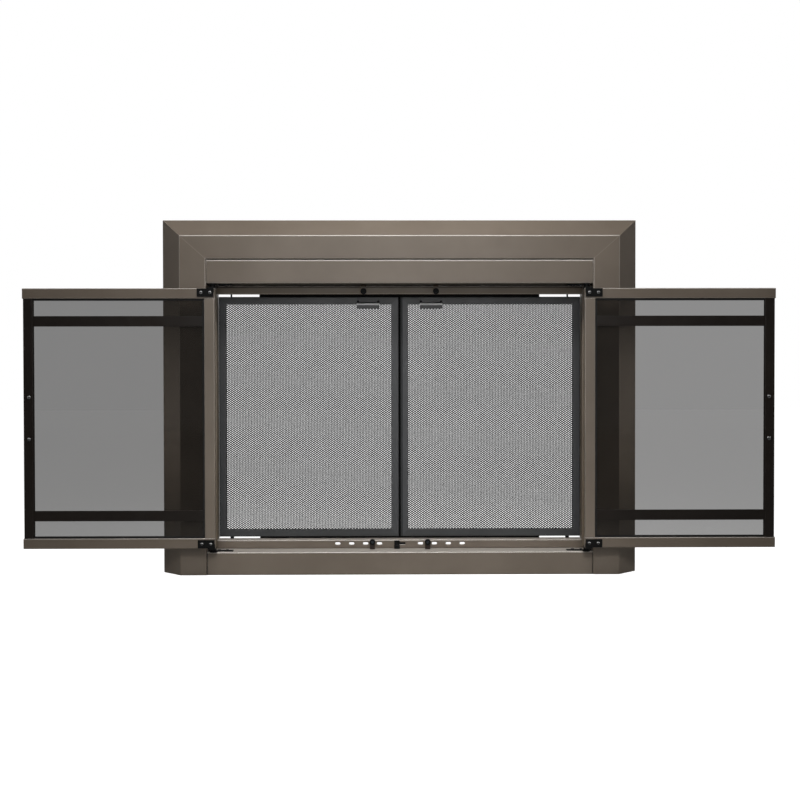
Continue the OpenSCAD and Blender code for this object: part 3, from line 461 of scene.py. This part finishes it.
def smoked_glass(name, clear):
    """Tempered glass, smoked through its body, with a faint haze of fingerprints.

    clear is the share of light that each of its two surfaces lets through.
    """
    m, t = new_material(name)
    place = add(t, "ShaderNodeTexCoord").outputs["Object"]
    breath = {"Scale": 1 / (HAZE_MM * MM), "Detail": 5.0, "Roughness": 0.6}
    haze = add(t, "ShaderNodeTexNoise", breath, {"Vector": place}).outputs["Fac"]
    sheen = {"From Min": 0.4, "From Max": 0.8, "To Min": 0.03, "To Max": 0.09}
    rough = add(t, "ShaderNodeMapRange", sheen, {"Value": haze})
    stops = [(0.3, "#221e1a"), (0.8, "#2b2621")]
    tint = add(t, "ShaderNodeValToRGB", {"stops": stops}, {"Fac": haze})
    surface = {"Base Color": tint.outputs["Color"], "Roughness": rough.outputs["Result"]}
    shader = add(t, "ShaderNodeBsdfPrincipled", {"Alpha": 1 - clear, "IOR": 1.5}, surface)
    add(t, "ShaderNodeOutputMaterial", links={"Surface": shader.outputs["BSDF"]})
    return m


# The left pane lets a little less light through than the right
glass = {
    "left": smoked_glass("smoked_tempered_glass_left", 0.455),
    "right": smoked_glass("smoked_tempered_glass_right", 0.50),
}

# Grain of a moulded skin or of a pile
SKIN_MM = 1.111


def moulded_rubber(name, shades, gloss):
    """Rubber or pile: nearly black, matt, with a fine uneven skin."""
    m, t = new_material(name)
    place = add(t, "ShaderNodeTexCoord").outputs["Object"]
    grain = {"Scale": 1 / (SKIN_MM * MM), "Detail": 3.0}
    skin = add(t, "ShaderNodeTexNoise", grain, {"Vector": place}).outputs["Fac"]
    stops = list(zip((0.3, 0.7), shades))
    shade = add(t, "ShaderNodeValToRGB", {"stops": stops}, {"Fac": skin})
    bump = add(t, "ShaderNodeBump", {"Strength": 0.3, "Distance": 0.05 * MM}, {"Height": skin})
    sheen = {"From Min": 0.3, "From Max": 0.7, "To Min": 0.6, "To Max": 0.75}
    rough = add(t, "ShaderNodeMapRange", sheen, {"Value": skin})
    surface = {
        "Base Color": shade.outputs["Color"],
        "Roughness": rough.outputs["Result"],
        "Normal": bump.outputs["Normal"],
    }
    shader = add(t, "ShaderNodeBsdfPrincipled", {"Specular IOR Level": gloss}, surface)
    add(t, "ShaderNodeOutputMaterial", links={"Surface": shader.outputs["BSDF"]})
    return m


# Moulded EPDM round the panes, matt and a little warm
epdm_gasket = moulded_rubber("epdm_gasket", ("#0f0f0f", "#191817"), 0.3)
# Wool pile between the mesh doors, which takes up almost all light
black_pile = moulded_rubber("black_pile", ("#030303", "#060606"), 0.05)

# The finish of each of the record's slots, and of the nodes that differ from their slot
FINISH = {
    "taupe_paint": taupe_enamel,
    "taupe_paint_aluminium": door_enamel,
    "black_aluminium": black_enamel,
    "black_steel": black_powder,
    "charcoal_steel": charcoal_powder,
    "steel_net": mesh_oxide,
    "zinc_steel": zinc_plate,
    "black_rubber": epdm_gasket,
}
OWN_FINISH = {
    "top_rail": mitred_enamel,
    "left_stile": mitred_enamel,
    "right_stile": mitred_enamel,
    "bottom_rail": rail_enamel,
    "lintel_panel": lintel_enamel,
    "header_channel": header_enamel,
    "magnet_tabs": umber_enamel,
    "mesh_meeting_strip": strip_powder,
    "clamp_bolts": zinc_thread,
    "frame_hinge_screws": blackened,
}
for side in SIDES:
    OWN_FINISH[side + "_jamb"] = header_enamel
    OWN_FINISH[side + "_door_glass"] = glass[side]
    OWN_FINISH[side + "_door_crossbars"] = black_enamel
    OWN_FINISH[side + "_door_hinge_stile"] = stile_enamel
    OWN_FINISH[side + "_door_hinge_screws"] = blackened
    OWN_FINISH[side + "_door_handle_screws"] = blackened
    OWN_FINISH[side + "_mesh_pull"] = pull_powder


def coat(obj, material):
    obj.data.materials.clear()
    obj.data.materials.append(material)


for row in frame["record"]["subparts"]:
    name = row["node"]
    coat(nodes[name], OWN_FINISH[name] if name in OWN_FINISH else FINISH[row["material_slot"]])

# ---- Pieces -------------------------------------------------------------------------------


def finished(mesh, name, material, body):
    """Turns a bmesh in metres into a piece that rides on a body."""
    bmesh.ops.remove_doubles(mesh, verts=mesh.verts, dist=1e-6)
    bmesh.ops.recalc_face_normals(mesh, faces=mesh.faces)
    data = bpy.data.meshes.new(name)
    mesh.to_mesh(data)
    mesh.free()
    obj = bpy.data.objects.new(name, data)
    bpy.context.scene.collection.objects.link(obj)
    coat(obj, material)
    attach(obj, body)
    return obj


def rounded_block(mesh, low, high, radius):
    """Adds a box with rounded edges between two corners."""
    block = bmesh.ops.create_cube(mesh, size=1.0)["verts"]
    bmesh.ops.scale(mesh, vec=high - low, verts=block)
    bmesh.ops.translate(mesh, vec=(low + high) / 2, verts=block)
    edges = list({e for v in block for e in v.link_edges})
    bmesh.ops.bevel(
        mesh, geom=edges, offset=radius, segments=2, profile=0.5, affect="EDGES", material=-1
    )


def cut_off(part, point, outwards):
    """Cuts away what lies past a plane and closes the cut."""
    everything = part.verts[:] + part.edges[:] + part.faces[:]
    bmesh.ops.bisect_plane(
        part, geom=everything, plane_co=point, plane_no=outwards, clear_outer=True
    )
    rims = [e for e in part.edges if e.is_boundary]
    if rims:
        bmesh.ops.holes_fill(part, edges=rims, sides=0)


def pour(part, mesh):
    """Moves a bmesh's contents into another one."""
    carrier = bpy.data.meshes.new("carrier")
    part.to_mesh(carrier)
    part.free()
    mesh.from_mesh(carrier)
    bpy.data.meshes.remove(carrier)


# Expanded mesh: diamond openings on a grid of this pitch, measured in the photograph
CELL_W = 7.37 * MM
CELL_H = 4.91 * MM
OPEN_SHARE = 0.28
STRAND_T = 0.8 * MM
STRAND_ROLL = math.radians(14)
# How far the channel covers the net's edge
NET_EDGE = 4 * MM


def expanded_mesh(side):
    """Two families of slanting strands, cut to the hem inside the door's channel."""
    low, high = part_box(side + "_mesh_net")
    x0, x1, z0, z1 = low.x + NET_EDGE, high.x - NET_EDGE, low.z + NET_EDGE, high.z - NET_EDGE
    centre = (low + high) / 2
    slope = math.atan2(CELL_H, CELL_W)
    pitch = CELL_W * math.sin(slope)
    width = pitch * (1 - math.sqrt(OPEN_SHARE))
    reach = math.hypot(x1 - x0, z1 - z0)
    count = int(reach / pitch / 2) + 1
    hem = [
        (Vector((x0, 0, 0)), Vector((-1, 0, 0))),
        (Vector((x1, 0, 0)), Vector((1, 0, 0))),
        (Vector((0, 0, z0)), Vector((0, 0, -1))),
        (Vector((0, 0, z1)), Vector((0, 0, 1))),
    ]
    mesh = bmesh.new()
    for lean in (1, -1):
        across = Vector((lean * math.sin(slope), 0, math.cos(slope))) * pitch
        turn = Matrix.Rotation(lean * slope, 4, "Y") @ Matrix.Rotation(STRAND_ROLL, 4, "X")
        size = Matrix.Diagonal((reach, STRAND_T, width, 1))
        for i in range(-count, count + 1):
            strand = bmesh.new()
            spot = Matrix.Translation(centre + across * i)
            bmesh.ops.create_cube(strand, size=1.0, matrix=spot @ turn @ size)
            for point, outwards in hem:
                # A strand beyond a corner is gone after the first cut
                if strand.verts:
                    cut_off(strand, point, outwards)
            pour(strand, mesh)
    obj = finished(mesh, side + "_expanded_mesh", mesh_oxide, side + "_mesh_door")
    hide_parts(side + "_mesh_net")


def meeting_lip():
    """Pile on the meeting strip's bar, which brushes the left mesh door's edge."""
    low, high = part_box("mesh_meeting_strip")
    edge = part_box("left_mesh_frame")[1].x
    bar_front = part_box("right_mesh_frame")[0].y + 3 * MM
    touch = 0.06 * MM
    proud = 0.5 * MM
    root = 1.4 * MM
    mesh = bmesh.new()
    corner_low = Vector((edge + touch, bar_front - proud, low.z))
    corner_high = Vector((-edge - root, high.y, high.z))
    rounded_block(mesh, corner_low, corner_high, 0.1 * MM)
    finished(mesh, "mesh_meeting_lip", black_pile, "right_mesh_door")


def damper_end_blade():
    """Lengthens the damper plate at its left end, so that it also shuts the outermost slot."""
    low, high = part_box("damper_plate")
    reach = 6.5 * MM
    seat = 0.4 * MM
    mesh = bmesh.new()
    corner_low = Vector((low.x - reach, low.y, low.z))
    corner_high = Vector((low.x + seat, high.y, high.z))
    rounded_block(mesh, corner_low, corner_high, 0.1 * MM)
    finished(mesh, "damper_end_blade", black_powder, "damper")


ROUND_FACES = 32


def quarters(node, upper):
    """The boxes of the two upper or lower solids of a node that has one in each quarter of its box."""
    low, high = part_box(node)
    middle = (low + high) / 2
    spots = [v.co for v in nodes[node].data.vertices]
    for right in (False, True):
        own = [p for p in spots if (p.x > middle.x) == right and (p.z > middle.z) == upper]
        yield (
            Vector([min(p[i] for p in own) for i in range(3)]),
            Vector([max(p[i] for p in own) for i in range(3)]),
        )


def magnet_poles(row, material):
    """Two half-round pole plates with a slot between them, in the dish of each catch of a row."""
    radius = 3.1 * MM
    chamfer = 0.2 * MM
    half_slot = 0.45 * MM
    sunk = 0.45 * MM
    thick = 0.7 * MM
    facing = Matrix.Rotation(math.radians(90), 4, "X")
    mesh = bmesh.new()
    for low, high in quarters("door_magnets", row == "upper"):
        centre = (low + high) / 2
        spot = Matrix.Translation((centre.x, low.y + sunk + thick / 2, centre.z))
        for half in (-1, 1):
            plate = bmesh.new()
            bmesh.ops.create_cone(
                plate,
                cap_ends=True,
                segments=ROUND_FACES,
                radius1=radius,
                radius2=radius - chamfer,
                depth=thick,
                matrix=spot @ facing,
            )
            cut_off(plate, centre + Vector((0, 0, half * half_slot)), Vector((0, 0, -half)))
            pour(plate, mesh)
    finished(mesh, row + "_catch_pole_plates", material, "surround")


def pull_rivets(side):
    """Domed rivets that hold the two ends of a mesh door's pull to the door's top member."""
    radius = 2.6 * MM
    rise = 1.3 * MM
    inset = 2.9 * MM
    above_ledge = 4.4 * MM
    sheet = 1.5 * MM
    low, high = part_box(side + "_mesh_pull")
    dome = Matrix.Diagonal((radius, rise, radius, 1))
    mesh = bmesh.new()
    for x in (low.x + inset, high.x - inset):
        spot = Matrix.Translation((x, high.y - sheet, low.z + PULL_LIP + above_ledge))
        bmesh.ops.create_uvsphere(
            mesh, u_segments=ROUND_FACES, v_segments=ROUND_FACES // 2, radius=1.0, matrix=spot @ dome
        )
    finished(mesh, side + "_pull_rivets", black_powder, side + "_mesh_door")


for side in SIDES:
    expanded_mesh(side)
    pull_rivets(side)
meeting_lip()
damper_end_blade()
# The two over the doors get black pole plates as painted shade, the two in the sill bare nickel
magnet_poles("upper", black_powder)
magnet_poles("lower", nickel_pole)

# ---- Stage, light and camera --------------------------------------------------------------

WHITE = linear("#ffffff")


def in_plain_sight(t):
    """1 for what the camera sees itself or through glass."""
    path = add(t, "ShaderNodeLightPath")
    rays = {0: path.outputs["Is Camera Ray"], 1: path.outputs["Is Transmission Ray"]}
    return add(t, "ShaderNodeMath", {"operation": "MAXIMUM"}, rays).outputs[0]


def plain_backdrop(name, code, glow):
    """White to the camera and through the glass, a plain pale surface to everything else."""
    m, t = new_material(name)
    pale = add(t, "ShaderNodeBsdfDiffuse", {"Color": linear(code)}).outputs[0]
    light = add(t, "ShaderNodeEmission", {"Color": WHITE, "Strength": glow})
    lit = add(t, "ShaderNodeAddShader", links={0: pale, 1: light.outputs[0]})
    pick = add(t, "ShaderNodeMixShader", links={"Fac": in_plain_sight(t), 1: pale, 2: lit.outputs[0]})
    add(t, "ShaderNodeOutputMaterial", links={"Surface": pick.outputs[0]})
    return m


bpy.ops.mesh.primitive_plane_add(size=24, location=(0, 4, 0))
floor = bpy.context.object
floor.name = "studio_floor"
coat(floor, plain_backdrop("pale_floor", "#b9b9b7", 0.96))


def studio_air(soft):
    """White behind the object for the camera, and a soft even light of this strength for the rest."""
    world = bpy.data.worlds.new("studio")
    bpy.context.scene.world = world
    world.use_nodes = True
    t = world.node_tree
    t.nodes.clear()
    dim = add(t, "ShaderNodeBackground", {"Color": WHITE, "Strength": soft})
    white = add(t, "ShaderNodeBackground", {"Color": WHITE, "Strength": 1.0})
    pick = {"Fac": in_plain_sight(t), 1: dim.outputs[0], 2: white.outputs[0]}
    mixed = add(t, "ShaderNodeMixShader", links=pick)
    add(t, "ShaderNodeOutputWorld", links={"Surface": mixed.outputs[0]})


studio_air(0.14)


def softbox(name, place, aim, size, watts, spread):
    """An area lamp that points from place to aim, with its beam narrowed to spread degrees."""
    data = bpy.data.lights.new(name, "AREA")
    data.shape = "RECTANGLE"
    data.size, data.size_y = size
    data.energy = watts
    data.spread = math.radians(spread)
    obj = bpy.data.objects.new(name, data)
    obj.location = place
    obj.rotation_euler = (Vector(aim) - Vector(place)).to_track_quat("-Z", "Y").to_euler()
    bpy.context.scene.collection.objects.link(obj)
    return obj


# Two strips close above draw the bright lines along the folds and leave the sides darker; a high front
# light and two lower ones open up the face and the recess, whose ceiling shades the band's top
softbox("ceiling_strip", (0, -0.6, 1.66), (0, -0.05, 0.6), size=(1.1, 0.22), watts=9.4, spread=150)
softbox("near_strip", (0, -0.3, 1.45), (0, -0.05, 0.7), size=(0.5, 0.15), watts=1.35, spread=150)
softbox("high_front", (0, -2.8, 1.95), (0, 0, 0.3), size=(1.6, 0.8), watts=2.75, spread=60)
softbox("level_front", (0, -1.9, 0.85), (0, 0, 0.4), size=(1.2, 0.25), watts=0.61, spread=90)
softbox("low_front", (0, -1.8, 0.45), (0, 0, 0.35), size=(0.9, 0.3), watts=0.77, spread=100)
# The back has its own light, which hardly shows from the front
softbox("back_fill", (0, 2.4, 1.3), (0, 0, 0.4), size=(1.6, 0.8), watts=3.0, spread=70)
# A narrow beam from above the doors on the sill and the bottom rail
softbox("sill_light", (0, -1.0, 0.75), (0, -0.05, 0.03), size=(1.1, 0.1), watts=0.43, spread=40)
# Slim lamps level with the gap behind the folded doors, kept out of the enamel's gloss, where they
# would glint
for side, sign in SIDES.items():
    beside = (sign * 1.3, -0.035, 0.36)
    kicker = softbox(side + "_kicker", beside, (0, -0.035, 0.36), size=(0.05, 0.36), watts=0.27, spread=24)
    kicker.visible_glossy = False

# The photograph was taken almost square on, from 2.6 m before the face, looking slightly down
FACE_Y = -50 * MM
VIEW_DISTANCE = 2.603
EYE_HEIGHT = 0.4471
EYE_YAW = math.radians(0.505)
EYE_PITCH = math.radians(0.864)
EYE_ROLL = math.radians(0.08)
FOCAL_PX = 1118.5
IMAGE_PX = 800
camera = bpy.data.cameras.new("camera")
camera.sensor_width = 36
camera.lens = FOCAL_PX / IMAGE_PX * camera.sensor_width
camera.clip_end = 100
eye = bpy.data.objects.new("camera", camera)
eye.location = (-VIEW_DISTANCE * math.tan(EYE_YAW), FACE_Y - VIEW_DISTANCE, EYE_HEIGHT)
yaw = Matrix.Rotation(-EYE_YAW, 3, "Z")
tilt = Matrix.Rotation(math.radians(90) - EYE_PITCH, 3, "X")
roll = Matrix.Rotation(-EYE_ROLL, 3, "Z")
eye.rotation_euler = (yaw @ tilt @ roll).to_euler()
bpy.context.scene.collection.objects.link(eye)
bpy.context.scene.camera = eye
bpy.context.scene.view_settings.view_transform = "Standard"
